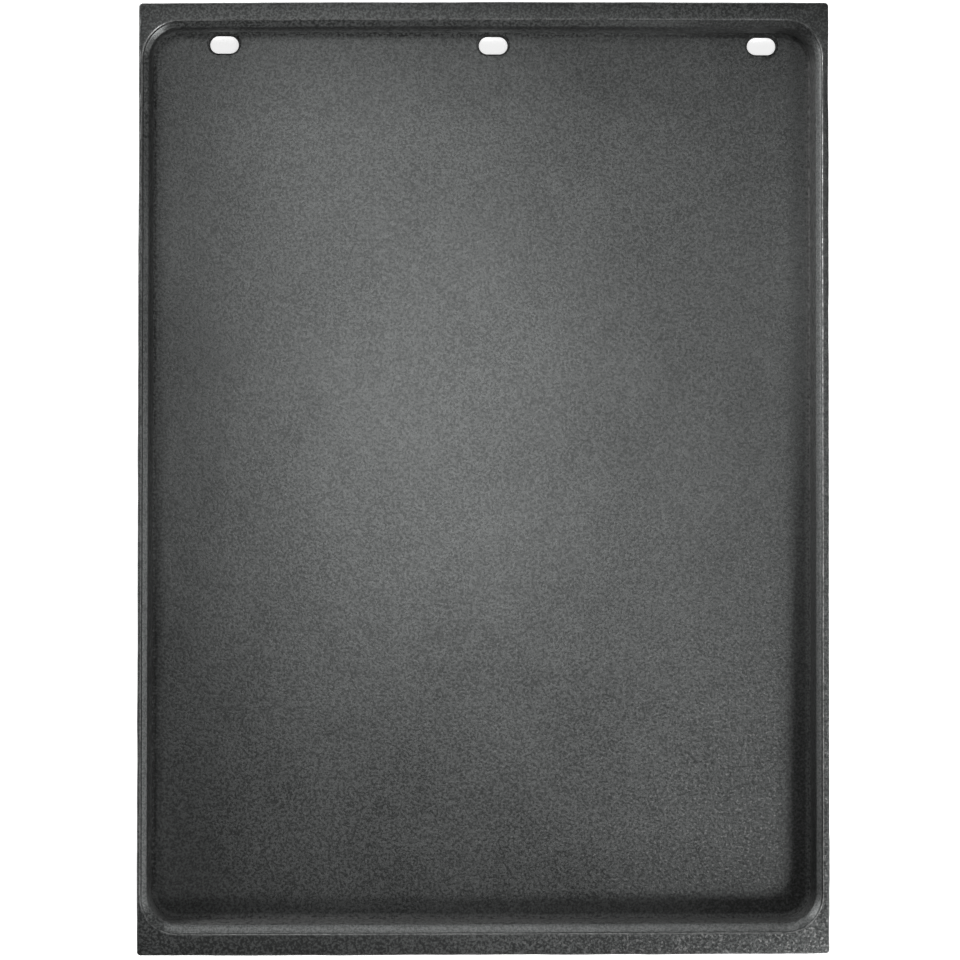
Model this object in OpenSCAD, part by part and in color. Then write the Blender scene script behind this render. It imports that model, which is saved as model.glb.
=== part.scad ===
// Cast-iron griddle plate: a shallow rectangular tray, cast in one piece.
// It lies flat. The front is -Y and the rear, with the drain slots, is +Y.
// The origin is under the middle of the plate, on the face that it rests on.

/* [Plate] */
// Overall length, from the front edge to the rear edge
plate_l = 440; // [300:1:520]
// Overall width, from side to side
plate_w = 319; // [290:1:400]
// Overall height, from the resting face to the rim
plate_h = 22; // [20:0.5:40]
// Thickness of the cooking floor
floor_t = 5; // [4:0.5:8]
// Radius of the outer corners, seen from above
outer_corner_r = 2; // [1.7:0.1:10]

/* [Rim] */
// Width of the rim's crest along the two sides
side_rim_w = 2.8; // [2.6:0.1:6]
// Width of the flat ledge across the rear
rear_ledge_w = 8.6; // [4:0.1:9]
// Width of the flat ledge across the front
front_ledge_w = 11.7; // [4:0.1:20]
// Height of the rim's upright outer band, which is also the thickness of the ledges
band_h = 6; // [3:0.5:8]
// How far the band stands out past the side walls below it
band_overhang = 0.5; // [0.2:0.1:1.5]
// Rounding of the rim's outer edge
outer_edge_r = 1; // [0.4:0.1:1.5]
// Rounding of the rim's inner edge
inner_edge_r = 0.8; // [0.3:0.1:1]

/* [Tray] */
// Drop from the crest of the rim to the sloped shoulder inside it
riser_h = 1.2; // [1:0.1:3]
// Width of the shoulder, from the rim to the walls
shoulder_w = 2.5; // [1:0.1:4]
// Height of the shoulder
shoulder_h = 2.1; // [0.5:0.1:4]
// Radius of the tray's corners at the rim, seen from above
tray_corner_r = 17; // [14:0.5:40]
// Sideways shift of the tray from the middle of the plate
tray_side_shift = -0.7; // [-0.9:0.1:0.9]
// Slope of the walls away from upright, in degrees
wall_draft = 4; // [2:0.5:12]
// Fillet between the walls and the cooking floor
floor_fillet_r = 1.5; // [1:0.5:10]
// Rounding of the edge between the walls and the resting face
base_edge_r = 9; // [4:0.5:13]

/* [Drain slots] */
// Number of slots in the row
slot_count = 3; // [1:1:3]
// Distance between the middles of neighbouring slots
slot_spacing = 125.8; // [20:0.1:130]
// Length of a slot, from end to end
slot_l = 14.2; // [9.5:0.1:18]
// Width of a slot
slot_w = 8.8; // [5:0.1:9]
// Distance from the foot of the rear wall to the slots
slot_foot_gap = 0.9; // [0.5:0.1:40]
// Sideways shift of the row from the middle of the plate
slot_shift = 4.5; // [-8:0.1:8]

/* [Hidden] */
$fn = 96;
// How far a cut runs past the faces that it opens
overcut = 1;
// How far the circle of a rounding runs past the faces beside it, so that it meets them at a clear line
bite = 0.002;
iron_grey = [0.16, 0.165, 0.165];

half_w = plate_w / 2;
half_l = plate_l / 2;
// Underside of the ledges, where the tray's outer walls begin
band_z = plate_h - band_h;
// How far the ledges make the tray sit nearer to the rear than to the front
tray_shift = (front_ledge_w - rear_ledge_w) / 2;
// The tray's opening at the level of the rim
tray_half_w = half_w - side_rim_w;
tray_half_l = half_l - (front_ledge_w + rear_ledge_w) / 2;
// Level at which the shoulder begins, and level of the walls' upper edge
shoulder_z = plate_h - riser_h;
wall_z = shoulder_z - shoulder_h;
// Corner radius of the walls' upper edge
wall_corner_r = tray_corner_r - shoulder_w;
// How far the walls lean in on their way down to the cooking floor
wall_lean = (wall_z - floor_t) * tan(wall_draft);
// Distance from the rear edge to the middle of the row of slots
slot_inset = rear_ledge_w + shoulder_w + wall_lean + slot_foot_gap + slot_w / 2;

// Distance from a sharp corner to where a rounding begins, for sides that meet at 90 degrees plus the draft
function setback(radius) = radius * (1 - sin(wall_draft)) / cos(wall_draft);

// Sweeps the half-section of its children round a rectangle with rounded corners, and fills the middle.
// The half-section reaches from 0, at the centre of the corner radius, outwards along x. Its y is the height.
module plan_sweep(half_x, half_y, corner_r, low, high) {
    core_x = half_x - corner_r;
    core_y = half_y - corner_r;
    translate([-core_x, -core_y, low])
        cube([2 * core_x, 2 * core_y, high - low]);
    for (turn = [0, 180]) {
        rotate(turn) {
            translate([core_x, 0, 0])
                rotate([90, 0, 0])
                    linear_extrude(2 * core_y, center = true)
                        children();
            translate([0, core_y, 0])
                rotate([90, 0, 90])
                    linear_extrude(2 * core_x, center = true)
                        children();
            translate([core_x, core_y, 0])
                rotate_extrude(angle = 90)
                    children();
            translate([-core_x, core_y, 0])
                rotate(90)
                    rotate_extrude(angle = 90)
                        children();
        }
    }
}

// What a rounding takes off a corner: the wedge outside a circle, between straight down and a drafted wall
module corner_waste(centre, radius) {
    reach = 2 * radius;
    translate(centre)
        difference() {
            polygon([
                [0, 0],
                [0, -reach],
                [reach, -reach],
                [reach * cos(wall_draft), -reach * sin(wall_draft)]
            ]);
            circle(radius + bite);
        }
}

// Half-section of a tray-shaped block: a drafted wall with a rounded lower edge
module drafted_section(top_r, low, high, base_r) {
    foot_r = top_r - (high - low) * tan(wall_draft);
    difference() {
        polygon([[0, low], [foot_r, low], [top_r, high], [0, high]]);
        corner_waste([foot_r - setback(base_r), low + base_r], base_r);
    }
}

// Half-section of the hollow above the walls: the shoulder, the riser and the rounded inner edge of the rim
module mouth_section() {
    centre = [tray_corner_r + inner_edge_r, plate_h - inner_edge_r];
    polygon([
        [0, wall_z],
        [wall_corner_r, wall_z],
        [tray_corner_r, shoulder_z],
        [tray_corner_r, plate_h + overcut],
        [0, plate_h + overcut]
    ]);
    difference() {
        translate([tray_corner_r - overcut, centre.y])
            square([overcut + inner_edge_r, inner_edge_r + overcut]);
        translate(centre)
            circle(inner_edge_r + bite);
    }
}

// Half-section of the rim's band, with its rounded outer edge
module band_section() {
    centre = [outer_corner_r - outer_edge_r, plate_h - outer_edge_r];
    difference() {
        translate([0, band_z])
            square([outer_corner_r, band_h]);
        translate(centre)
            difference() {
                square(2 * outer_edge_r);
                circle(outer_edge_r + bite);
            }
    }
}

// Rim band over the whole plate, before the tray is hollowed out
module rim_band() {
    plan_sweep(half_w, half_l, outer_corner_r, band_z, plate_h)
        band_section();
}

// Outside of the tray below the band
module tray_outside() {
    wall_w = side_rim_w - band_overhang;
    outside_r = tray_corner_r + wall_w;
    translate([0, tray_shift, 0])
        plan_sweep(tray_half_w + wall_w, tray_half_l + wall_w, outside_r, 0, band_z)
            drafted_section(outside_r, 0, band_z, base_edge_r);
}

// Hollow of the tray, from the cooking floor up past the rim
module tray_hollow() {
    translate([tray_side_shift, tray_shift, 0])
        plan_sweep(tray_half_w, tray_half_l, tray_corner_r, floor_t, plate_h + overcut) {
            drafted_section(wall_corner_r, floor_t, wall_z, floor_fillet_r);
            mouth_section();
        }
}

// Round-ended slot outline
module slot_outline() {
    straight_l = slot_l - slot_w;
    square([straight_l, slot_w], center = true);
    for (side = [-1, 1])
        translate([side * straight_l / 2, 0])
            circle(d = slot_w);
}

// Row of drain slots through the floor along the rear wall
module drain_slots() {
    for (i = [0 : slot_count - 1])
        translate([
            slot_shift + (i - (slot_count - 1) / 2) * slot_spacing,
            half_l - slot_inset,
            -overcut
        ])
            linear_extrude(plate_h + overcut)
                slot_outline();
}

module griddle_plate() {
    color(iron_grey)
        difference() {
            union() {
                rim_band();
                tray_outside();
            }
            tray_hollow();
            drain_slots();
        }
}

griddle_plate();
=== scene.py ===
"""Cast-iron griddle plate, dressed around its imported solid.

The plate lies on a pale floor. Its rear edge, the one with the drain slots, is towards +Y.
All lengths are in metres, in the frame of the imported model.
"""

import logging
import math
from collections.abc import Iterable
from dataclasses import dataclass
from enum import Enum

import bmesh
import bpy
from mathutils import Euler, Matrix, Vector, noise


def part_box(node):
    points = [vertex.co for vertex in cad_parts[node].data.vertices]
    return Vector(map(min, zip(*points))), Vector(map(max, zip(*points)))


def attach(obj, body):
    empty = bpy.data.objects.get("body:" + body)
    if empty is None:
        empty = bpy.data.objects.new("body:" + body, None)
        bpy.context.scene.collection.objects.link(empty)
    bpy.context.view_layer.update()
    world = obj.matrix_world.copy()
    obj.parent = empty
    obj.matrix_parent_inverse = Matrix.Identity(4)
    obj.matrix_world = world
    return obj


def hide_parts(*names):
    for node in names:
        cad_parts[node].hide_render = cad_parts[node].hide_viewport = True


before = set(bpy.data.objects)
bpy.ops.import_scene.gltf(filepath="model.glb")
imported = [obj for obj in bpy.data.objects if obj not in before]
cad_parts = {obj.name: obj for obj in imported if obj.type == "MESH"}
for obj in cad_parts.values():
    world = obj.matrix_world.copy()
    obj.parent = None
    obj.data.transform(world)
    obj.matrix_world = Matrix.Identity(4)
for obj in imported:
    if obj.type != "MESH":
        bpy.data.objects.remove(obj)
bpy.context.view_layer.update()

LOG = logging.getLogger("griddle_plate")
MM = 0.001
IMAGE_PX = 960
WHITE = (1.0, 1.0, 1.0, 1.0)
# Places of the two colours and of their mixture among the sockets of a mixing node
MIX_COLOURS = (6, 7)
MIX_RESULT = 2
# Profile of a bevel that is a quarter of a circle
ROUND_PROFILE = 0.5

Colour = tuple[float, float, float]
EdgeLoop = list[bmesh.types.BMEdge]


def clamp(value: float) -> float:
    """Keeps a value between 0 and 1."""
    return max(0.0, min(1.0, value))


class Skin(Enum):
    """Faces of the casting, by how raw each one is left: 0 is dressed smooth, 1 is as cast."""

    COOKING = 0.0
    WALL = 0.25
    RIM = 1.0
    UNDERSIDE = 0.8


class Grain(Enum):
    """Float layers on the casting's vertices, which its finish reads."""

    RAW = "raw"
    # Grit of the casting, and bright specks that stand as painted glints where the front-right lamps rake
    GRIT = "grit"
    # Real wear on the crest and edges, and painted light that makes some walls lighter
    WEAR = "wear"
    # Painted shade, darkening the colour where shadow falls on the walls, creases, slot edges and the floor
    # beside the walls
    SOOT = "soot"
    DULL = "dull"


class Way(Enum):
    """Directions over the plate, seen from above."""

    RIGHT = (1.0, 0.0)
    LEFT = (-1.0, 0.0)
    REAR = (0.0, 1.0)
    FRONT = (0.0, -1.0)
    FRONT_RIGHT = (0.5, -0.5)
    FRONT_LEFT = (-0.5, -0.5)


@dataclass(frozen=True)
class Fade:
    """A rise from 0 to 1 over the plate: its direction, where it starts and how steep it is."""

    way: Way
    start: float
    rate: float

    def at(self, x: float, y: float) -> float:
        """Gives the rise at a place, in shares of the plate's half-sides."""
        along = self.way.value[0] * x + self.way.value[1] * y
        return clamp((along - self.start) * self.rate)


class Area(Enum):
    """Areas of the plate that are marked apart, each where all of its fades overlap."""

    REAR_END = (Fade(Way.REAR, 0.86, 12.0),)
    FRONT_END = (Fade(Way.FRONT, 0.86, 12.0),)
    REAR_FLOOR = (Fade(Way.REAR, 0.75, 6.0),)
    FRONT_FLOOR = (Fade(Way.FRONT, 0.5, 2.5),)
    FRONT_RIGHT = (Fade(Way.FRONT_RIGHT, 0.0, 1.0),)
    FRONT_LEFT = (Fade(Way.FRONT_LEFT, 0.0, 1.0),)
    CHIPPED = (Fade(Way.FRONT_RIGHT, 0.88, 10.0),)
    UPPER_RIGHT = (Fade(Way.RIGHT, 0.35, 2.0), Fade(Way.REAR, -0.75, 1.0), Fade(Way.FRONT, -0.97, 10.0))
    REAR_RIGHT = (Fade(Way.REAR, 0.88, 16.0), Fade(Way.RIGHT, 0.0, 1.5))
    REAR_LEFT = (Fade(Way.REAR, 0.9, 12.0), Fade(Way.LEFT, -0.5, 1.0))
    REAR_LEFT_CORNER = (Fade(Way.LEFT, 0.85, 12.0), Fade(Way.REAR, 0.8, 8.0))
    FRONT_LEFT_CORNER = (Fade(Way.LEFT, 0.85, 8.0), Fade(Way.FRONT, 0.85, 12.0))
    FRONT_RIGHT_CORNER = (Fade(Way.RIGHT, 0.85, 8.0), Fade(Way.FRONT, 0.85, 12.0))
    LEFT_SIDE = (Fade(Way.LEFT, 0.8, 6.0), Fade(Way.FRONT, -0.75, 5.0))
    LEFT_LOW = (Fade(Way.LEFT, 0.8, 6.0), Fade(Way.FRONT, -0.6, 1.0), Fade(Way.REAR, -0.93, 12.0))
    RIGHT_LOW = (Fade(Way.RIGHT, 0.9, 12.0), Fade(Way.FRONT, 0.0, 1.5), Fade(Way.REAR, -0.95, 15.0))

    def at(self, x: float, y: float) -> float:
        """Gives how much a place belongs to the area, in shares of the plate's half-sides."""
        return math.prod(fade.at(x, y) for fade in self.value)


@dataclass(frozen=True)
class Ramp:
    """A smooth step from one range of values to another one."""

    low: float
    high: float
    low_out: float = 0.0
    high_out: float = 1.0


class ShaderSheet:
    """Lays the nodes of one shader tree and joins them."""

    def __init__(self, tree: bpy.types.NodeTree) -> None:
        """Takes the tree to work on."""
        self.tree = tree

    def add(self, kind: str, **settings: object) -> bpy.types.Node:
        """Adds a node.

        Args:
            kind: the name of the node's type.
            settings: properties of the node, or values of its inputs by their names.

        Returns:
            The new node.
        """
        node = self.tree.nodes.new(kind)
        for name, value in settings.items():
            if hasattr(node, name):
                setattr(node, name, value)
            else:
                node.inputs[name.replace("_", " ")].default_value = value
        return node

    def join(self, source: bpy.types.NodeSocket, target: bpy.types.NodeSocket) -> None:
        """Links an output to an input."""
        self.tree.links.new(source, target)

    def math(self, operation: str, first: object, second: object, third: object = 0.0,
             clamp: bool = False) -> bpy.types.NodeSocket:
        """Adds a sum, a product or the like.

        Args:
            operation: the name of the operation.
            first: a number, or the output that feeds the first input.
            second: a number, or the output that feeds the second input.
            third: the same for the third input, which only some operations use.
            clamp: whether the result stays between 0 and 1.

        Returns:
            The node's output.
        """
        node = self.add("ShaderNodeMath", operation=operation, use_clamp=clamp)
        for socket, value in zip(node.inputs, (first, second, third)):
            if isinstance(value, bpy.types.NodeSocket):
                self.join(value, socket)
            else:
                socket.default_value = value
        return node.outputs["Value"]

    def ramp(self, value: bpy.types.NodeSocket, ramp: Ramp) -> bpy.types.NodeSocket:
        """Maps a range of values onto another one.

        Args:
            value: the output to map.
            ramp: the two ranges.

        Returns:
            The clamped, smoothed result.
        """
        node = self.add("ShaderNodeMapRange", interpolation_type="SMOOTHSTEP")
        self.join(value, node.inputs["Value"])
        names = ("From Min", "From Max", "To Min", "To Max")
        for name, number in zip(names, (ramp.low, ramp.high, ramp.low_out, ramp.high_out)):
            node.inputs[name].default_value = number
        return node.outputs["Result"]

    def mix(self, share: bpy.types.NodeSocket, first: object, second: object) -> bpy.types.NodeSocket:
        """Mixes two colours.

        Args:
            share: the output that gives the second colour's share.
            first: a colour, or the output that gives it.
            second: a colour, or the output that gives it.

        Returns:
            The mixed colour.
        """
        node = self.add("ShaderNodeMix", data_type="RGBA")
        self.join(share, node.inputs["Factor"])
        for index, value in zip(MIX_COLOURS, (first, second)):
            if isinstance(value, bpy.types.NodeSocket):
                self.join(value, node.inputs[index])
            else:
                node.inputs[index].default_value = (*value, 1.0)
        return node.outputs[MIX_RESULT]


@dataclass(frozen=True)
class SandGrain:
    """Shader group of the grain that a sand mould leaves: humps, pits and bright specks, which serve partly
    as painted glints.
    """

    name: str = "Sand grain"
    detail: float = 1.0
    hump_rough: float = 0.7
    speck_ratio: float = 1.3
    speck_ramp: Ramp = Ramp(0.56, 0.74)

    def group(self) -> bpy.types.NodeTree:
        """Builds the group.

        Returns:
            A shader group that turns a place and a grain size into a height and a mask of specks.
        """
        tree = bpy.data.node_groups.new(self.name, "ShaderNodeTree")
        for name, kind in (("Place", "NodeSocketVector"), ("Grains per metre", "NodeSocketFloat")):
            tree.interface.new_socket(name=name, in_out="INPUT", socket_type=kind)
        for name in ("Height", "Specks"):
            tree.interface.new_socket(name=name, in_out="OUTPUT", socket_type="NodeSocketFloat")
        sheet = ShaderSheet(tree)
        entry = sheet.add("NodeGroupInput")
        place, per_metre = entry.outputs["Place"], entry.outputs["Grains per metre"]
        humps = sheet.add("ShaderNodeTexNoise", Detail=self.detail, Roughness=self.hump_rough)
        sheet.join(per_metre, humps.inputs["Scale"])
        specks = sheet.add("ShaderNodeTexNoise", Detail=self.detail)
        sheet.join(sheet.math("MULTIPLY", per_metre, self.speck_ratio), specks.inputs["Scale"])
        for texture in (humps, specks):
            sheet.join(place, texture.inputs["Vector"])
        leave = sheet.add("NodeGroupOutput")
        sheet.join(humps.outputs["Fac"], leave.inputs["Height"])
        sheet.join(sheet.ramp(specks.outputs["Fac"], self.speck_ramp), leave.inputs["Specks"])
        return tree


@dataclass(frozen=True)
class CastIron:
    """Finish of the plate: a thin dark coat over sand-cast iron, with lighter metal at worn edges, painted
    shade, lighter walls as painted light and specks as painted glints.
    """

    name: str = "cast_iron"
    coat: Colour = (0.007, 0.0073, 0.0072)
    coat_pale: Colour = (0.068, 0.0704, 0.0698)
    bare_iron: Colour = (0.17, 0.17, 0.168)
    shade_black: Colour = (0.006, 0.006, 0.006)
    dull_rough: float = 0.8
    sheen: float = 0.5
    sheen_tint: Colour = (0.965, 1.0, 0.99)
    dull_sheen: float = 0.06
    raw_shade: float = 0.34
    grit_relief: float = 0.5
    raw_rough: float = 0.05
    fine_per_m: float = 950.0
    coarse_per_m: float = 620.0
    patch_per_m: float = 16.0
    patch_detail: float = 5.0
    patch_rough: float = 0.62
    fine_depth: float = 0.035 * MM
    coarse_depth: float = 0.3 * MM
    glint_share: float = 0.85
    bare_grain: Ramp = Ramp(0.3, 0.7, 0.1, 1.0)
    patch_tone: Ramp = Ramp(0.3, 0.7, 0.05, 0.25)
    grain_tone: Ramp = Ramp(0.34, 0.66, 0.0, 0.72)
    gleam: Ramp = Ramp(0.3, 0.9, 0.0, 0.8)
    shade_grain: Ramp = Ramp(0.3, 0.65, 0.6, 1.0)
    grain_rough: Ramp = Ramp(0.3, 0.8, 0.3, 0.26)

    def material(self) -> bpy.types.Material:
        """Builds the material.

        Returns:
            A material that reads Object coordinates and the casting's vertex layers.
        """
        material = bpy.data.materials.new(self.name)
        material.use_nodes = True
        material.node_tree.nodes.clear()
        sheet = ShaderSheet(material.node_tree)
        place = sheet.add("ShaderNodeTexCoord").outputs["Object"]
        raw, grit, wear, soot, dull = (
            sheet.add("ShaderNodeAttribute", attribute_name=layer.value).outputs["Fac"] for layer in Grain
        )

        group = SandGrain().group()
        fine = sheet.add("ShaderNodeGroup", node_tree=group, Grains_per_metre=self.fine_per_m).outputs
        coarse = sheet.add("ShaderNodeGroup", node_tree=group, Grains_per_metre=self.coarse_per_m).outputs
        for grain in (fine, coarse):
            sheet.join(place, grain["Height"].node.inputs["Place"])
        patches = sheet.add(
            "ShaderNodeTexNoise",
            Scale=self.patch_per_m,
            Detail=self.patch_detail,
            Roughness=self.patch_rough,
        )
        sheet.join(place, patches.inputs["Vector"])

        # Bright specks of bare iron: partly the casting's grit, partly painted glints of the front-right
        # lamps
        specks = sheet.math("MULTIPLY", coarse["Specks"], sheet.math("MULTIPLY", grit, self.glint_share))
        # Bare iron where the wear layer is: real wear on the crest and edges, and painted light on the walls
        rubbed_and_lit = sheet.math("MULTIPLY", wear, sheet.ramp(coarse["Height"], self.bare_grain), clamp=True)
        shown = sheet.math("MAXIMUM", specks, rubbed_and_lit)
        tone = sheet.math(
            "ADD",
            sheet.ramp(patches.outputs["Fac"], self.patch_tone),
            sheet.ramp(fine["Height"], self.grain_tone),
        )
        relief = -self.grit_relief * self.raw_shade
        shade = sheet.math("MULTIPLY", raw, sheet.math("MULTIPLY_ADD", grit, relief, self.raw_shade))
        toned = sheet.mix(sheet.math("SUBTRACT", tone, shade, clamp=True), self.coat, self.coat_pale)

        height = sheet.math(
            "MULTIPLY_ADD",
            fine["Height"],
            self.fine_depth,
            sheet.math("MULTIPLY", sheet.math("MULTIPLY", coarse["Height"], self.coarse_depth), grit),
        )
        bump = sheet.add("ShaderNodeBump", Strength=1.0, Distance=1.0)
        sheet.join(height, bump.inputs["Height"])

        skin = sheet.add("ShaderNodeBsdfPrincipled", Specular_Tint=(*self.sheen_tint, 1.0))
        sheet.join(sheet.ramp(rubbed_and_lit, self.gleam), skin.inputs["Metallic"])
        unshaded = sheet.mix(shown, toned, self.bare_iron)
        # Painted shade: the colour goes towards black where the painted-shade layer lies, broken up by the
        # coarse grain
        soot = sheet.math("MULTIPLY", soot, sheet.ramp(coarse["Height"], self.shade_grain))
        sheet.join(sheet.mix(soot, unshaded, self.shade_black), skin.inputs["Base Color"])
        rough = sheet.ramp(fine["Height"], self.grain_rough)
        rough = sheet.math("MULTIPLY_ADD", raw, self.raw_rough, rough)
        rough = sheet.math("MAXIMUM", rough, sheet.math("MULTIPLY", dull, self.dull_rough))
        sheet.join(rough, skin.inputs["Roughness"])
        sheen = sheet.math("MULTIPLY_ADD", dull, self.dull_sheen - self.sheen, self.sheen)
        sheet.join(sheen, skin.inputs["Specular IOR Level"])
        sheet.join(bump.outputs["Normal"], skin.inputs["Normal"])
        sheet.join(skin.outputs["BSDF"], sheet.add("ShaderNodeOutputMaterial").inputs["Surface"])
        return material


@dataclass(frozen=True)
class PaleFloor:
    """Finish of the studio floor: white paper, which still takes the plate's shadow."""

    name: str = "pale_floor"
    colour: Colour = (0.82, 0.82, 0.82)
    rough: float = 0.9
    lift: float = 0.62

    def material(self) -> bpy.types.Material:
        """Builds the material.

        Returns:
            A matt material that is lifted to white where it is seen, and lights nothing by that.
        """
        material = bpy.data.materials.new(self.name)
        material.use_nodes = True
        material.node_tree.nodes.clear()
        sheet = ShaderSheet(material.node_tree)
        rays = sheet.add("ShaderNodeLightPath").outputs
        seen = sheet.math("MAXIMUM", rays["Is Camera Ray"], rays["Is Glossy Ray"])
        seen = sheet.math("MAXIMUM", seen, rays["Is Transmission Ray"])
        paper = sheet.add(
            "ShaderNodeBsdfPrincipled",
            Base_Color=(*self.colour, 1.0),
            Roughness=self.rough,
            Emission_Color=WHITE,
        )
        sheet.join(sheet.math("MULTIPLY", seen, self.lift), paper.inputs["Emission Strength"])
        sheet.join(paper.outputs["BSDF"], sheet.add("ShaderNodeOutputMaterial").inputs["Surface"])
        return material


@dataclass(frozen=True)
class Outline:
    """Rectangle with rounded corners, seen from above."""

    half_x: float
    half_y: float
    corner_r: float
    centre: tuple[float, float] = (0.0, 0.0)

    def core(self) -> Vector:
        """Gives the half-sides of the rectangle through the centres of the corner arcs."""
        return Vector((self.half_x - self.corner_r, self.half_y - self.corner_r))


@dataclass(frozen=True)
class Spread:
    """How strong a mark is along the plate's sides, its rear and its front."""

    sides: float = 0.0
    rear: float = 0.0
    front: float = 0.0

    def at(self, rear_share: float, front_share: float) -> float:
        """Gives the strength at a place between the ends.

        Args:
            rear_share: how much the place belongs to the rear.
            front_share: how much it belongs to the front.

        Returns:
            The strength.
        """
        return self.sides + (self.rear - self.sides) * rear_share + (self.front - self.sides) * front_share

    def scaled(self, share: float) -> "Spread":
        """Gives the same spread at another strength."""
        return Spread(self.sides * share, self.rear * share, self.front * share)

    def moved(self, step: "Spread", count: int) -> "Spread":
        """Gives the spread after a number of equal steps."""
        return Spread(
            self.sides + step.sides * count, self.rear + step.rear * count, self.front + step.front * count,
        )


@dataclass(frozen=True)
class Station:
    """One level of the casting's skin: an outline that is drawn out or in, at a height."""

    outline: Outline
    out: float
    z: float
    skin: Skin
    wear: Spread = Spread()
    soot: Spread = Spread()
    dull: Spread = Spread()


@dataclass
class Marks:
    """Values of the float layers at one point of the skin."""

    raw: float
    grit: float
    wear: float
    soot: float
    dull: float


@dataclass(frozen=True)
class WeatheringAndShade:
    """How the mould and use have marked the casting, and where shade and light are painted on it, as
    strengths in its areas.
    """

    # Along the stations, from the rim's outer edge to the cooking floor; the darkening of the crease,
    # shoulder, walls, cove and margin is painted shade, and the lighter front walls and cove are painted
    # light
    edge_wear: Spread = Spread(0.05, 0.15, 0.4)
    edge_dull: Spread = Spread(0.6, 0.2, 0.0)
    crest_wear: Spread = Spread(1.0, 0.5, 0.7)
    crease_shade: Spread = Spread(1.0, 0.2, 0.0)
    shoulder_shade: Spread = Spread(0.12, 0.3, 0.0)
    wall_light: tuple[Spread, ...] = (Spread(front=0.4), Spread(front=0.4), Spread(front=0.35))
    wall_shade: tuple[Spread, ...] = (Spread(0.8, 0.85, 0.0), Spread(0.95, 0.95, 0.0), Spread(0.9, 0.05, 0.0))
    wall_dull: Spread = Spread(0.9, 0.8, 0.8)
    cove_light: Spread = Spread(front=0.25)
    cove_shade: Spread = Spread(0.8, 0.45, 0.1)
    cove_shade_step: Spread = Spread(-0.09, -0.04, 0.04)
    cove_dull: tuple[float, ...] = (1.0, 1.0, 1.0, 1.0, 0.92, 0.6)
    margin_shade: Spread = Spread(0.42, 0.45, 0.38)
    # On every face
    upper_right_unshaded: float = 0.95
    upper_right_gloss: float = 0.25
    rear_right_unworn: float = 0.8
    left_side_unworn: float = 0.75
    # On the cooking floor: grit, and painted shade by the walls, in the front-right lamp's shadow and
    # towards the front, rear and left
    floor_grit: float = 1.4
    unshaded_grit: float = 1.25
    shaded_grit_loss: float = 1.7
    left_power: float = 1.5
    left_painted_shade: float = 0.48
    left_painted_shade_gain: float = 3.0
    side_painted_shade_loss: float = 0.5
    side_painted_shade_most: float = 0.6
    front_painted_shade: float = 0.26
    rear_painted_shade: float = 0.16
    shade_least: float = 0.1
    shade_gain: float = 0.82
    front_shade_loss: float = 0.12
    shade_rise: float = 4.5
    foot_shade: float = 0.65
    foot_shade_w: float = 6.0 * MM
    # On the walls: painted shade, and painted light that makes some walls lighter
    wall_grit: float = 0.2
    rear_right_painted_shade: float = 0.85
    right_corner_dull: float = 0.45
    left_corner_dull: float = 0.6
    # Painted light: the walls lighter in the upper right and at the front left end
    upper_right_light: float = 0.4
    front_left_light: float = 0.35
    # On the rim and the underside
    rear_left_smooth_and_light: float = 0.4
    crest_least: float = 0.2
    left_crest_dull: float = 0.5
    right_rim_dull: float = 0.7
    chip_wear: float = 0.6

    def marks(self, station: Station, spot: Vector, half: tuple[float, float]) -> Marks:
        """Gives the marks at a point of the skin.

        Args:
            station: the level that the point lies on.
            spot: the point.
            half: the plate's half-width and half-length.

        Returns:
            The marks.
        """
        share = {area: area.at(spot.x / half[0], spot.y / half[1]) for area in Area}
        ends = share[Area.REAR_END], share[Area.FRONT_END]
        worn = 1 - self.rear_right_unworn * share[Area.REAR_RIGHT]
        worn *= 1 - self.left_side_unworn * share[Area.LEFT_SIDE]
        marks = Marks(
            raw=station.skin.value,
            grit=share[Area.FRONT_RIGHT] ** 2,
            wear=station.wear.at(*ends) * worn,
            # Painted shade, weaker in the upper right where the front-right lamp casts little shadow
            soot=station.soot.at(*ends) * (1 - self.upper_right_unshaded * share[Area.UPPER_RIGHT]),
            dull=station.dull.at(*ends) * (1 - self.upper_right_gloss * share[Area.UPPER_RIGHT]),
        )
        if station.skin is Skin.COOKING:
            self.mark_floor(marks, station, spot, share)
        elif station.skin is Skin.WALL:
            self.mark_wall(marks, station, share)
        else:
            self.mark_rim(marks, station, share)
        marks.dull = max(marks.soot, marks.dull)
        return marks

    def mark_floor(self, marks: Marks, station: Station, spot: Vector, share: dict[Area, float]) -> None:
        """Lays painted shade on the cooking floor, and the gritty specks and glints where there is little of
        it.

        Args:
            marks: the marks to change.
            station: the level that the point lies on.
            spot: the point.
            share: how much the point belongs to each area.
        """
        right, left = share[Area.FRONT_RIGHT], share[Area.FRONT_LEFT] ** self.left_power
        beside = (1 - share[Area.REAR_END]) * (1 - share[Area.FRONT_END])
        # Painted shade beside the walls, stronger towards the front left and weaker along the sides
        painted_dark = marks.soot * (1 + (self.left_painted_shade_gain * left - self.side_painted_shade_loss) * beside)
        most = self.shade_least + self.shade_gain * right
        most *= 1 - self.front_shade_loss * share[Area.FRONT_END]
        core, centre = station.outline.core(), station.outline.centre
        near_right = clamp(1 - (core.x - spot.x + centre[0]) / self.foot_shade_w)
        near_front = clamp(1 - (core.y + spot.y - centre[1]) / self.foot_shade_w)
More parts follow.
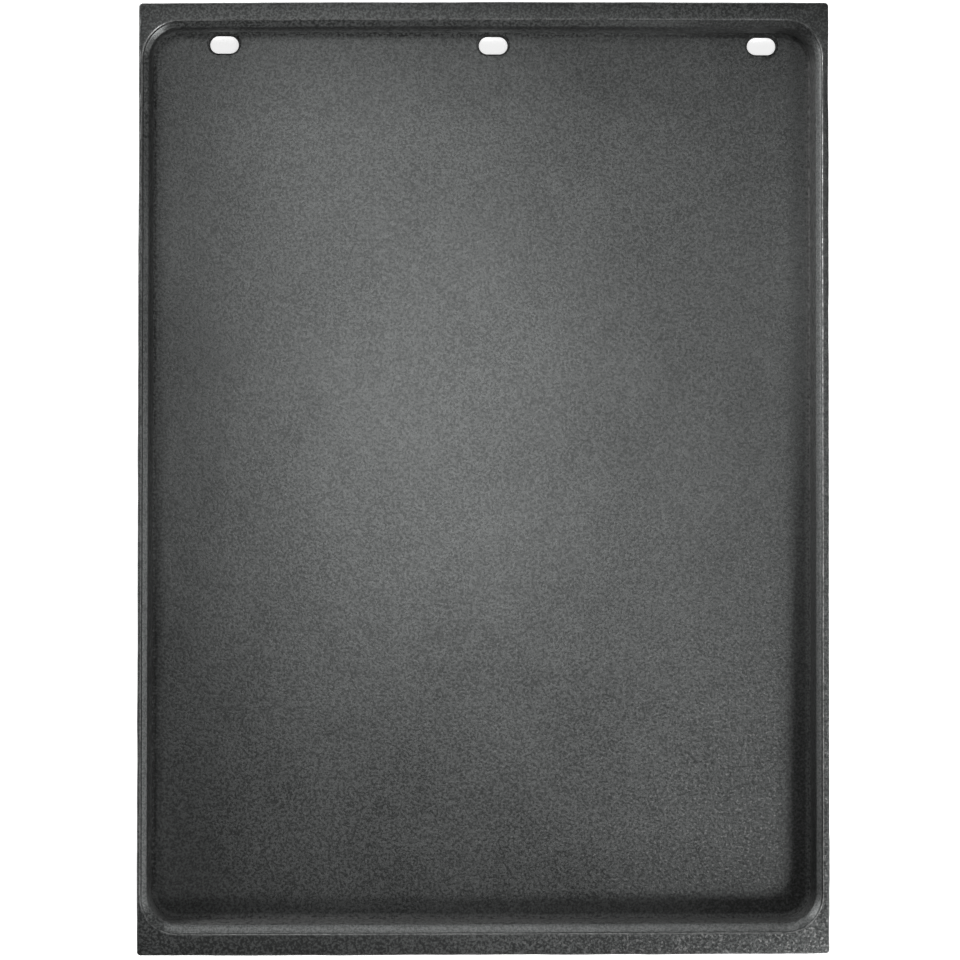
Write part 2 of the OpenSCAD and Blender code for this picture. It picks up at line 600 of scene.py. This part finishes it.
        # Painted shade, the strongest of: the margin by the walls, darker towards the front and rear, the
        # front-right lamp's cast shadow, the shade at the front-right foot, and darker towards the front
        # left
        marks.soot = max(
            min(painted_dark, self.side_painted_shade_most),
            self.front_painted_shade * share[Area.FRONT_FLOOR],
            self.rear_painted_shade * share[Area.REAR_FLOOR] * (1 - share[Area.UPPER_RIGHT]),
            min(most, self.shade_rise * right ** 2 * math.sqrt(station.soot.sides)),
            self.foot_shade * right ** 3 * (1 - (1 - near_right) * (1 - near_front)),
            self.left_painted_shade * left,
        )
        # The grit and its painted glints fade where painted shade lies
        marks.grit *= self.floor_grit * clamp(self.unshaded_grit - self.shaded_grit_loss * marks.soot)

    def mark_wall(self, marks: Marks, station: Station, share: dict[Area, float]) -> None:
        """Marks the walls, whose stations are dull, and the shoulder and its crease, whose stations are not:
        painted shade on them, and painted light that makes some walls lighter.

        Args:
            marks: the marks to change.
            station: the level that the point lies on.
            share: how much the point belongs to each area.
        """
        marks.grit *= self.wall_grit
        # Painted shade on the rear-right walls
        marks.soot = max(marks.soot, self.rear_right_painted_shade * share[Area.REAR_RIGHT])
        marks.dull = max(marks.dull, self.right_corner_dull * share[Area.FRONT_RIGHT_CORNER])
        if station.dull.sides > 0:
            # Painted light: the walls lighter in the upper right and at the front left end
            marks.wear += self.upper_right_light * share[Area.UPPER_RIGHT]
            marks.wear += self.front_left_light * share[Area.FRONT_LEFT] * share[Area.FRONT_END]
            # Painted shade over the whole left wall
            marks.soot = max(marks.soot, share[Area.LEFT_LOW])
        else:
            marks.dull = max(marks.dull, self.left_corner_dull * share[Area.FRONT_LEFT_CORNER])
            # Painted shade on the crease and shoulder at the rear-left corner
            marks.soot = max(marks.soot, station.soot.sides * share[Area.REAR_LEFT_CORNER])

    def mark_rim(self, marks: Marks, station: Station, share: dict[Area, float]) -> None:
        """Dulls the worn crest and the unworn faces of the rim and the underside, and chips the outer edge.

        Args:
            marks: the marks to change.
            station: the level that the point lies on.
            share: how much the point belongs to each area.
        """
        # Smoother skin at the rear left, which also lightens the rim there as painted light where the
        # overhead highlight falls
        marks.raw *= 1 - self.rear_left_smooth_and_light * share[Area.REAR_LEFT]
        if station.wear.sides > self.crest_least:
            marks.dull = max(marks.dull, self.left_crest_dull * share[Area.LEFT_SIDE])
        elif station.wear.sides == 0:
            marks.dull = max(marks.dull, self.right_rim_dull * share[Area.RIGHT_LOW])
        else:
            marks.wear += self.chip_wear * share[Area.CHIPPED] * station.dull.sides


@dataclass(frozen=True)
class MouldWaves:
    """The uneven skin that a sand mould leaves: broad waves and close ripples, into the metal."""

    depth: float = 0.35 * MM
    broad_per_m: float = 28.0
    close_per_m: float = 95.0
    close_offset: tuple[float, float, float] = (3.1, 7.7, 1.3)
    mean: float = 0.5
    broad_swing: float = 0.5
    close_swing: float = 0.35
    dressed_share: float = 0.35

    def sink(self, spot: Vector, raw: float) -> float:
        """Gives how far the skin sinks at a point.

        Args:
            spot: the point.
            raw: how raw the skin is left there.

        Returns:
            The depth.
        """
        broad = self.broad_swing * noise.noise(spot * self.broad_per_m)
        close = self.close_swing * noise.noise(spot * self.close_per_m + Vector(self.close_offset))
        share = self.dressed_share + (1 - self.dressed_share) * raw
        return max(0.0, self.mean + broad + close) * share * self.depth


def arc(centre: tuple[float, float], radius: float, start: float, end: float,
        steps: int) -> list[tuple[float, float]]:
    """Walks along an arc of the casting's half-section.

    Args:
        centre: the arc's centre, as a distance out from the outline and a height.
        radius: the arc's radius.
        start: angle of the first point, in degrees from straight out, upwards.
        end: angle of the last point.
        steps: number of steps between them.

    Returns:
        The points, as distances out and heights.
    """
    points = []
    for step in range(steps + 1):
        angle = math.radians(start + (end - start) * step / steps)
        points.append((centre[0] + radius * math.cos(angle), centre[1] + radius * math.sin(angle)))
    return points


def points_of(loop: EdgeLoop) -> set[bmesh.types.BMVert]:
    """Gives the points of a loop of edges."""
    return {vert for edge in loop for vert in edge.verts}


def grow(bm: bmesh.types.BMesh, loop: EdgeLoop) -> EdgeLoop:
    """Extrudes a strip of faces from a loop of open edges, and gives the new open edges."""
    grown = bmesh.ops.extrude_edge_only(bm, edges=loop)["geom"]
    return [x for x in grown if isinstance(x, bmesh.types.BMEdge) and x.is_boundary]


@dataclass
class GriddlePlate:
    """The casting: cooking floor, drafted walls, rim, end ledges and drain slots."""

    half_w: float
    half_l: float
    height: float
    floor_t: float = 5.0 * MM
    draft_deg: float = 4.0
    base_edge_r: float = 9.0 * MM
    # Rim
    side_rim_w: float = 2.8 * MM
    rear_ledge_w: float = 8.6 * MM
    front_ledge_w: float = 11.7 * MM
    front_ease_w: float = 1.2 * MM
    band_h: float = 6.0 * MM
    band_overhang: float = 0.5 * MM
    lower_edge_r: float = 0.3 * MM
    outer_corner_r: float = 2.0 * MM
    outer_edge_r: float = 1.0 * MM
    inner_edge_r: float = 0.9 * MM
    crest_hold: float = 0.15 * MM
    # Bevel of the crest's inner edge: distance out and drop in shares of its radius, and share of the wear
    bevel: tuple[tuple[float, float, float], ...] = (
        (1.0, 0.0, 0.0),
        (0.66, 0.09, 0.8),
        (0.6, 0.13, 1.0),
        (0.2, 0.48, 1.0),
        (0.13, 0.57, 0.6),
        (0.0, 1.0, 0.0),
    )
    rear_left_drift: float = 1.3 * MM
    rear_left_power: int = 3
    front_right_drift: float = 0.5 * MM
    front_right_power: int = 2
    drift_start: float = 0.7
    drift_run: float = 0.2
    # Tray. Levels on the walls are shares of their drop, and those on the floor shares of its margin of
    # painted shade
    tray_side_shift: float = -0.7 * MM
    tray_corner_r: float = 17.0 * MM
    riser_h: float = 1.2 * MM
    crease_w: float = 0.45 * MM
    crease_rise: float = 0.05 * MM
    crease_sink: float = 0.1 * MM
    crease_end_sink: float = 0.4 * MM
    shoulder_w: float = 2.5 * MM
    shoulder_h: float = 2.1 * MM
    shoulder_turn: float = 0.08
    wall_turn: float = 0.3 * MM
    wall_levels: tuple[float, ...] = (0.0, 0.2, 0.6)
    fillet_r: float = 1.5 * MM
    shade_margin_w: float = 11.5 * MM
    margin_levels: tuple[float, ...] = (0.12, 0.25, 0.4, 0.6, 1.0)
    # Drain slots
    slot_count: int = 3
    slot_spacing: float = 125.8 * MM
    slot_l: float = 14.2 * MM
    slot_w: float = 8.8 * MM
    slot_foot_gap: float = 0.9 * MM
    slot_shift: float = 4.5 * MM
    slot_lip_r: float = 0.9 * MM
    slot_taper: float = 0.6 * MM
    slot_rear: float = 0.35
    slot_rear_shade: float = 0.5
    lip_shade: float = 0.55
    lip_shade_turn: float = 0.6
    # Fineness of the mesh
    mesh_pitch: float = 3.2 * MM
    corner_steps: int = 18
    base_steps: int = 7
    lower_steps: int = 2
    edge_steps: int = 5
    cove_steps: int = 5
    slot_end_steps: int = 14
    lip_steps: int = 4
    cut_reach: float = 3.0
    cut_rise: float = 0.6
    cut_gap: float = 1e-7
    flat_gap: float = 1e-6
    weld_gap: float = 2e-6
    # Finish of the skin
    use: WeatheringAndShade = WeatheringAndShade()
    waves: MouldWaves = MouldWaves()

    def setback(self, radius: float) -> float:
        """Gives the distance from a sharp corner of the section to where its rounding begins."""
        draft = math.radians(self.draft_deg)
        return radius * (1 - math.sin(draft)) / math.cos(draft)

    def lean(self, rise: float) -> float:
        """Gives how far a wall leans over a height."""
        return rise * math.tan(math.radians(self.draft_deg))

    def opening(self, rim: float, rear: float, front: float, corner_r: float) -> Outline:
        """Gives an outline of the tray's opening.

        Args:
            rim: its mean distance in from the plate's sides.
            rear: its distance in from the rear edge.
            front: its distance in from the front edge.
            corner_r: the radius of its corners.

        Returns:
            The outline.
        """
        centre = (self.tray_side_shift, (front - rear) / 2)
        return Outline(self.half_w - rim, self.half_l - (front + rear) / 2, corner_r, centre)

    def mouth(self) -> Outline:
        """Gives the outline of the crest's inner edge."""
        front = self.front_ledge_w - self.front_ease_w
        return self.opening(self.side_rim_w, self.rear_ledge_w, front, self.tray_corner_r)

    def well(self) -> Outline:
        """Gives the outline of the walls' upper edge, at the foot of the shoulder."""
        inset = self.shoulder_w
        return self.opening(
            self.side_rim_w + inset,
            self.rear_ledge_w + inset,
            self.front_ledge_w + inset,
            self.tray_corner_r - inset,
        )

    def wall_z(self) -> float:
        """Gives the level of the walls' upper edge."""
        return self.height - self.riser_h - self.shoulder_h

    def outside(self) -> list[Station]:
        """Lists the skin from the resting face up to the crest of the rim.

        Returns:
            The stations, in order.
        """
        band_z = self.height - self.band_h
        wall = self.side_rim_w - self.band_overhang
        body = Outline(
            self.half_w - self.band_overhang,
            self.half_l - (self.front_ledge_w + self.rear_ledge_w) / 2 + wall,
            self.tray_corner_r + wall,
            (0.0, (self.front_ledge_w - self.rear_ledge_w) / 2),
        )
        band = Outline(self.half_w, self.half_l, self.outer_corner_r)
        base_out = -self.lean(band_z) - self.setback(self.base_edge_r)
        base = arc((base_out, self.base_edge_r), self.base_edge_r, -90, -self.draft_deg, self.base_steps)
        lower_r, upper_r = self.lower_edge_r, self.outer_edge_r
        lower = arc((-lower_r, band_z + lower_r), lower_r, -90, 0, self.lower_steps)
        upper = arc((-upper_r, self.height - upper_r), upper_r, 0, 90, self.edge_steps)
        stations = [Station(body, out, z, Skin.UNDERSIDE) for out, z in base]
        stations.append(Station(body, 0.0, band_z, Skin.UNDERSIDE))
        stations += [Station(band, out, z, Skin.RIM) for out, z in lower]
        for i, (out, z) in enumerate(upper):
            share = math.sin(math.pi * i / self.edge_steps)
            wear, dull = self.use.edge_wear.scaled(share), self.use.edge_dull.scaled(share)
            stations.append(Station(band, out, z, Skin.RIM, wear, dull=dull))
        return stations

    def inside(self) -> list[Station]:
        """Lists the skin from the crest of the rim down to the cooking floor.

        Returns:
            The stations, in order.
        """
        use, mouth, well = self.use, self.mouth(), self.well()
        wall_z = self.wall_z()
        ledge_z = wall_z + self.shoulder_h
        stations = [Station(mouth, self.inner_edge_r + self.crest_hold, self.height, Skin.RIM)]
        for out, drop, share in self.bevel:
            z = self.height - drop * self.inner_edge_r
            wear = use.crest_wear.scaled(share)
            stations.append(Station(mouth, out * self.inner_edge_r, z, Skin.RIM, wear))
        turn = self.shoulder_turn
        # The crease and the foot of the shoulder carry painted shade
        for outline, out, z, soot in (
            (mouth, 0.0, ledge_z + self.crease_rise, use.crease_shade),
            (mouth, -0.5 * self.crease_w, ledge_z - self.crease_sink, use.crease_shade),
            (mouth, -self.crease_w, ledge_z - self.crease_end_sink, use.shoulder_shade),
            (well, turn * self.shoulder_w, wall_z + turn * self.shoulder_h, use.shoulder_shade),
        ):
            stations.append(Station(outline, out, z, Skin.WALL, soot=soot))
        drop = wall_z - self.floor_t
        foot = -self.lean(drop) - self.setback(self.fillet_r)
        for share, wear, soot in zip(self.wall_levels, use.wall_light, use.wall_shade):
            z = wall_z - max(self.wall_turn, share * drop)
            stations.append(Station(well, share * foot, z, Skin.WALL, wear, soot, use.wall_dull))
        centre = (foot, self.floor_t + self.fillet_r)
        # The cove carries painted shade
        for i, (out, z) in enumerate(arc(centre, self.fillet_r, -self.draft_deg, -90, self.cove_steps)):
            soot = use.cove_shade.moved(use.cove_shade_step, i)
            dull = Spread(1.0, 1.0, 1.0).scaled(use.cove_dull[i])
            stations.append(Station(well, out, z, Skin.WALL, use.cove_light, soot, dull))
        # The floor margin carries painted shade, fading away from the foot of the walls
        for share in self.margin_levels:
            soot = use.margin_shade.scaled((1 - share) ** 2)
            out = foot - self.shade_margin_w * share
            stations.append(Station(well, out, self.floor_t, Skin.COOKING, soot=soot, dull=soot))
        return stations

    def mark(self, bm: bmesh.types.BMesh, verts: Iterable[bmesh.types.BMVert], station: Station) -> None:
        """Writes a station's finish on its points."""
        layers = {layer.value: bm.verts.layers.float[layer.value] for layer in Grain}
        for vert in verts:
            marks = self.use.marks(station, vert.co, (self.half_w, self.half_l))
            for name, layer in layers.items():
                vert[layer] = getattr(marks, name)

    def first_loop(self, bm: bmesh.types.BMesh, station: Station) -> EdgeLoop:
        """Draws the station that the skin starts from, with points all along its straight sides.

        Args:
            bm: the mesh to draw in.
            station: the level to draw.

        Returns:
            The edges of a closed loop.
        """
        line = station.outline
        half = Vector((line.half_x + station.out, line.half_y + station.out))
        place = Matrix.Translation((*line.centre, station.z)) @ Matrix.Diagonal((half.x, half.y, 1, 1))
        corners = bmesh.ops.create_grid(bm, x_segments=1, y_segments=1, size=1.0, matrix=place)["verts"]
        bmesh.ops.bevel(
            bm, geom=corners, offset=line.corner_r + station.out, offset_type="OFFSET",
            segments=self.corner_steps, profile=ROUND_PROFILE, affect="VERTICES", material=-1,
        )
        bmesh.ops.delete(bm, geom=bm.faces[:], context="FACES_ONLY")
        for axis in (0, 1):
            sides = [e for e in bm.edges if abs((e.verts[0].co - e.verts[1].co)[axis]) > half[axis]]
            bmesh.ops.subdivide_edges(bm, edges=sides, cuts=round(2 * half[axis] / self.mesh_pitch))
        self.mark(bm, bm.verts, station)
        return bm.edges[:]

    def next_loop(self, bm: bmesh.types.BMesh, loop: EdgeLoop, before: Station, after: Station) -> EdgeLoop:
        """Extrudes the skin from one station to the next one.

        Args:
            bm: the mesh to work on.
            loop: the edges of the loop at the first station.
            before: the first station.
            after: the next station.

        Returns:
            The edges of the loop at the next station.
        """
        loop = grow(bm, loop)
        was, now = before.outline, after.outline
        core, next_core = was.core(), now.core()
        for vert in points_of(loop):
            spot = vert.co.xy - Vector(was.centre)
            near = Vector((max(-core.x, min(core.x, spot.x)), max(-core.y, min(core.y, spot.y))))
            way = (spot - near).normalized()
            near = Vector((near.x * next_core.x / core.x, near.y * next_core.y / core.y))
            spot = Vector(now.centre) + near + way * (now.corner_r + after.out)
            vert.co = (*spot, after.z)
        self.mark(bm, points_of(loop), after)
        return loop

    def fill(self, bm: bmesh.types.BMesh, loop: EdgeLoop, station: Station) -> None:
        """Closes the flat middle of the floor or the resting face with a grid.

        Args:
            bm: the mesh to work on.
            loop: the edges of the loop round the flat.
            station: the station of that loop.
        """
        line = station.outline
        middle = Station(line, -line.corner_r, station.z, station.skin)
        loop = self.next_loop(bm, loop, station, middle)
        core = line.core()
        place = Matrix.Translation((*line.centre, station.z)) @ Matrix.Diagonal((core.x, core.y, 1, 1))
        runs = [e.verts[0].co - e.verts[1].co for e in loop]
        count = [sum(1 for run in runs if abs(run[axis]) > self.flat_gap) // 2 for axis in (0, 1)]
        grid = bmesh.ops.create_grid(
            bm, x_segments=count[0], y_segments=count[1], size=1.0, matrix=place,
        )["verts"]
        self.mark(bm, grid, middle)
        border = points_of(loop) | {v for v in grid if v.is_boundary}
        bmesh.ops.remove_doubles(bm, verts=list(border), dist=self.weld_gap)

    def slot_frame(self, index: int) -> tuple[Vector, float]:
        """Gives a slot's middle and the half-length of the straight line between its round ends."""
        inset = self.rear_ledge_w + self.shoulder_w + self.lean(self.wall_z() - self.floor_t)
        inset += self.slot_foot_gap + self.slot_w / 2
        x = self.slot_shift + (index - (self.slot_count - 1) / 2) * self.slot_spacing
        return Vector((x, self.half_l - inset, 0.0)), (self.slot_l - self.slot_w) / 2

    def open_floor(self, bm: bmesh.types.BMesh, middle: Vector, straight: float) -> EdgeLoop:
        """Takes the floor and the resting face away where a slot and its rolled lips will be.

        Args:
            bm: the mesh to cut.
            middle: the slot's middle.
            straight: half-length of the straight line between the slot's round ends.

        Returns:
            The open edges round the hole, in both faces.
        """
        wide = self.slot_w / 2 + self.slot_lip_r
        rim = []
        for side, turn in ((1, -90), (-1, 90)):
            for step in range(self.slot_end_steps + 1):
                angle = math.radians(turn + 180 * step / self.slot_end_steps)
                offset = (side * straight + wide * math.cos(angle), wide * math.sin(angle), 0)
                rim.append(middle + Vector(offset))
        near = straight + wide + self.cut_reach * self.mesh_pitch
        top = self.floor_t + self.cut_rise * self.fillet_r
        inside = []
        for face in bm.faces:
            spot = face.calc_center_median()
            if abs(spot.x - middle.x) < near and abs(spot.y - middle.y) < near and spot.z < top:
                inside.append(face)
        for start, end in zip(rim, rim[1:] + rim[:1]):
            out = Vector(((end - start).y, -(end - start).x, 0)).normalized()
            geom = list({x for f in inside for x in (f, *f.edges, *f.verts)})
            cut = bmesh.ops.bisect_plane(bm, geom=geom, dist=self.cut_gap, plane_co=start, plane_no=out)
            inside = [
                x for x in cut["geom"]
                if isinstance(x, bmesh.types.BMFace) and (x.calc_center_median() - start).dot(out) < 0
            ]
        hole = {e for f in inside for e in f.edges}
        bmesh.ops.delete(bm, geom=inside, context="FACES")
        return [e for e in hole if e.is_valid and e.is_boundary]

    def cut_slot(self, bm: bmesh.types.BMesh, index: int) -> None:
        """Opens one drain slot through the floor, paints shade on its rear edge and rounds its two lips.

        Args:
            bm: the mesh to cut.
            index: which slot of the row, from the left.
        """
        middle, straight = self.slot_frame(index)
        hole = self.open_floor(bm, middle, straight)
        soot, dull = (bm.verts.layers.float[layer.value] for layer in (Grain.SOOT, Grain.DULL))
        for vert in points_of(hole):
            if vert.co.y > middle.y + self.slot_rear * self.slot_w:
                # Painted shade on the slot's rear edge
                vert[soot] = max(vert[soot], self.slot_rear_shade)
                vert[dull] = 1.0
        lips = []
        for top in (True, False):
            loop = [e for e in hole if (e.verts[0].co.z > self.floor_t / 2) == top]
            lips += self.roll_lip(bm, loop, middle, straight, -1.0 if top else 1.0)
        bmesh.ops.bridge_loops(bm, edges=lips)

    def roll_lip(self, bm: bmesh.types.BMesh, loop: EdgeLoop, middle: Vector, straight: float,
                 sense: float) -> EdgeLoop:
        """Rolls the edge of a slot over into the hole.

        Args:
            bm: the mesh to work on.
            loop: the edges round the hole.
            middle: the slot's middle.
            straight: half-length of the straight line between the slot's round ends.
            sense: -1 to roll down from the top face, 1 to roll up from the underside.

        Returns:
            The edges at the end of the lip.
        """
        soot, dull = (bm.verts.layers.float[layer.value] for layer in (Grain.SOOT, Grain.DULL))
        reach = self.slot_lip_r + (self.slot_taper if sense > 0 else 0.0)
        for step in range(self.lip_steps):
            first, last = (math.pi / 2 * (step + i) / self.lip_steps for i in (0, 1))
            inward = reach * (math.sin(last) - math.sin(first))
            along = self.slot_lip_r * (math.cos(first) - math.cos(last))
            share = (step + 1) / self.lip_steps
            loop = grow(bm, loop)
            for vert in points_of(loop):
                offset = vert.co - middle
                offset.x -= max(-straight, min(straight, offset.x))
                offset.z = 0
                way = offset.normalized()
                vert.co -= way * inward
                vert.co.z += sense * along
                # Painted shade rolling into the hole, darkest at the rear and left lips
                vert[soot] = share * clamp(self.lip_shade + self.lip_shade_turn * (way.y - way.x))
                vert[dull] = 1.0
        return loop

    def drift(self, spot: Vector) -> Vector:
        """Gives how far the rim lies out of square at a point, towards the plate's middle.

        Args:
            spot: the point.

        Returns:
            The move, which fades out down to the floor and away from the two ends.
        """
        lift = clamp((spot.z - self.floor_t) / (self.wall_z() - self.floor_t))
        left = 0.5 - spot.x / self.half_w / 2
        end = clamp((abs(spot.y) / self.half_l - self.drift_start) / self.drift_run)
        if spot.y > 0:
            move = -self.rear_left_drift * left ** self.rear_left_power
        else:
            move = self.front_right_drift * (1 - left) ** self.front_right_power
        return Vector((0.0, move, 0.0)) * lift * end

    def settle(self, bm: bmesh.types.BMesh) -> None:
        """Sinks the skin unevenly into the metal, and draws the rim out of square."""
        raw = bm.verts.layers.float[Grain.RAW.value]
        moves = []
        for vert in bm.verts:
            sink = self.waves.sink(vert.co, vert[raw])
            moves.append((vert, vert.normal * -sink + self.drift(vert.co)))
        for vert, move in moves:
            vert.co += move

    def build(self) -> bpy.types.Object:
        """Builds the casting and dresses it.

        Returns:
            The plate's object, with its place in its mesh.
        """
        bm = bmesh.new()
        for layer in Grain:
            bm.verts.layers.float.new(layer.value)
        stations = self.outside() + self.inside()
        base = loop = self.first_loop(bm, stations[0])
        for before, after in zip(stations, stations[1:]):
            loop = self.next_loop(bm, loop, before, after)
        self.fill(bm, base, stations[0])
        self.fill(bm, loop, stations[-1])
        for index in range(self.slot_count):
            self.cut_slot(bm, index)
        bmesh.ops.recalc_face_normals(bm, faces=bm.faces[:])
        bm.normal_update()
        self.settle(bm)
        for face in bm.faces:
            face.smooth = True
        mesh = bpy.data.meshes.new("griddle_casting")
        bm.to_mesh(mesh)
        bm.free()
        mesh.materials.append(CastIron().material())
        plate = bpy.data.objects.new("griddle_casting", mesh)
        bpy.context.scene.collection.objects.link(plate)
        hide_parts("griddle_plate")
        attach(plate, "root")
        return plate


@dataclass(frozen=True)
class Softbox:
    """One lamp of the studio: a flat panel that faces a point on the plate."""

    name: str
    place: tuple[float, float, float]
    aim: tuple[float, float, float]
    size: tuple[float, float]
    watts: float

    def hang(self) -> bpy.types.Object:
        """Hangs the lamp.

        Returns:
            The lamp's object.
        """
        light = bpy.data.lights.new(self.name, "AREA")
        light.shape = "RECTANGLE"
        light.size, light.size_y = self.size
        light.energy = self.watts
        lamp = bpy.data.objects.new(self.name, light)
        bpy.context.scene.collection.objects.link(lamp)
        lamp.location = self.place
        lamp.rotation_euler = (Vector(self.aim) - Vector(self.place)).to_track_quat("-Z", "Y").to_euler()
        lamp.visible_camera = False
        return lamp


@dataclass
class Studio:
    """Floor, lamps, room light and camera."""

    floor_half: float = 12.0
    floor_drop: float = 0.2 * MM
    room_light: float = 0.04
    focal_px: float = 2992.6
    sensor: float = 36.0
    eye: tuple[float, float, float] = (-0.022, -0.0276, 1.4)
    tilt_deg: tuple[float, float, float] = (1.091, -0.838, 0.033)
    lamps: tuple[Softbox, ...] = (
        Softbox("overhead_box", (-0.03, 0.03, 1.1), (0.0, 0.02, 0.0), (0.32, 0.2), 1.45),
        Softbox("rear_overhead_box", (-0.1, 0.34, 1.1), (-0.02, 0.1, 0.0), (0.26, 0.36), 1.08),
        Softbox("right_overhead_box", (0.36, 0.01, 1.1), (0.14, 0.0, 0.0), (0.68, 0.12), 1.1),
        Softbox("front_right_box", (0.5, -0.58, 0.48), (0.1, -0.12, 0.0), (0.13, 0.13), 6.3),
        Softbox("low_front_right_box", (0.7, -0.72, 0.25), (0.0, 0.0, 0.0), (0.64, 0.24), 12.0),
        Softbox("low_left_box", (-0.8, 0.27, 0.26), (0.1, 0.0, 0.0), (0.6, 0.2), 6.0),
        Softbox("low_front_left_box", (-0.8, -0.2, 0.26), (0.1, 0.0, 0.0), (0.4, 0.2), 1.3),
        Softbox("low_rear_left_box", (-0.575, 0.763, 0.26), (0.1, 0.0, 0.0), (0.62, 0.2), 2.1),
        Softbox("low_rear_box", (0.0, 0.95, 0.28), (0.0, 0.0, 0.0), (0.6, 0.2), 2.4),
        Softbox("low_right_box", (0.95, -0.1, 0.26), (0.0, 0.0, 0.0), (0.45, 0.2), 3.3),
    )

    def lay_floor(self) -> bpy.types.Object:
        """Lays the floor under the plate.

        Returns:
            The floor's object.
        """
        bm = bmesh.new()
        place = Matrix.Translation((0, 0, -self.floor_drop))
        bmesh.ops.create_grid(bm, x_segments=1, y_segments=1, size=self.floor_half, matrix=place)
        mesh = bpy.data.meshes.new("floor")
        bm.to_mesh(mesh)
        bm.free()
        mesh.materials.append(PaleFloor().material())
        floor = bpy.data.objects.new("floor", mesh)
        bpy.context.scene.collection.objects.link(floor)
        return floor

    def fill_room(self) -> None:
        """Gives the world an even, dim light, which is white where the camera sees it."""
        world = bpy.data.worlds.new("room")
        world.use_nodes = True
        world.node_tree.nodes.clear()
        sheet = ShaderSheet(world.node_tree)
        room = sheet.add("ShaderNodeBackground", Color=WHITE)
        seen = sheet.add("ShaderNodeLightPath").outputs["Is Camera Ray"]
        sheet.join(sheet.math("MAXIMUM", seen, self.room_light), room.inputs["Strength"])
        sheet.join(room.outputs["Background"], sheet.add("ShaderNodeOutputWorld").inputs["Surface"])
        bpy.context.scene.world = world

    def set_camera(self) -> bpy.types.Object:
        """Sets the camera over the plate.

        Returns:
            The camera's object.
        """
        data = bpy.data.cameras.new("eye")
        data.sensor_fit = "HORIZONTAL"
        data.sensor_width = self.sensor
        data.lens = self.focal_px * self.sensor / IMAGE_PX
        camera = bpy.data.objects.new("eye", data)
        bpy.context.scene.collection.objects.link(camera)
        camera.location = self.eye
        camera.rotation_euler = Euler([math.radians(a) for a in self.tilt_deg], "XYZ")
        bpy.context.scene.camera = camera
        return camera

    def build(self) -> None:
        """Sets up everything around the plate."""
        self.lay_floor()
        self.fill_room()
        for lamp in self.lamps:
            lamp.hang()
        self.set_camera()
        bpy.context.scene.view_settings.view_transform = "Standard"


def main() -> None:
    """Builds the plate and its studio, and reports each piece."""
    logging.basicConfig(level=logging.INFO, format="%(name)s: %(message)s")
    low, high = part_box("griddle_plate")
    plate = GriddlePlate(half_w=(high.x - low.x) / 2, half_l=(high.y - low.y) / 2, height=high.z - low.z)
    piece = plate.build()
    LOG.info("%s: %d faces", piece.name, len(piece.data.polygons))
    Studio().build()
    LOG.info("studio: floor, lamps and camera")


if __name__ == "__main__":
    main()
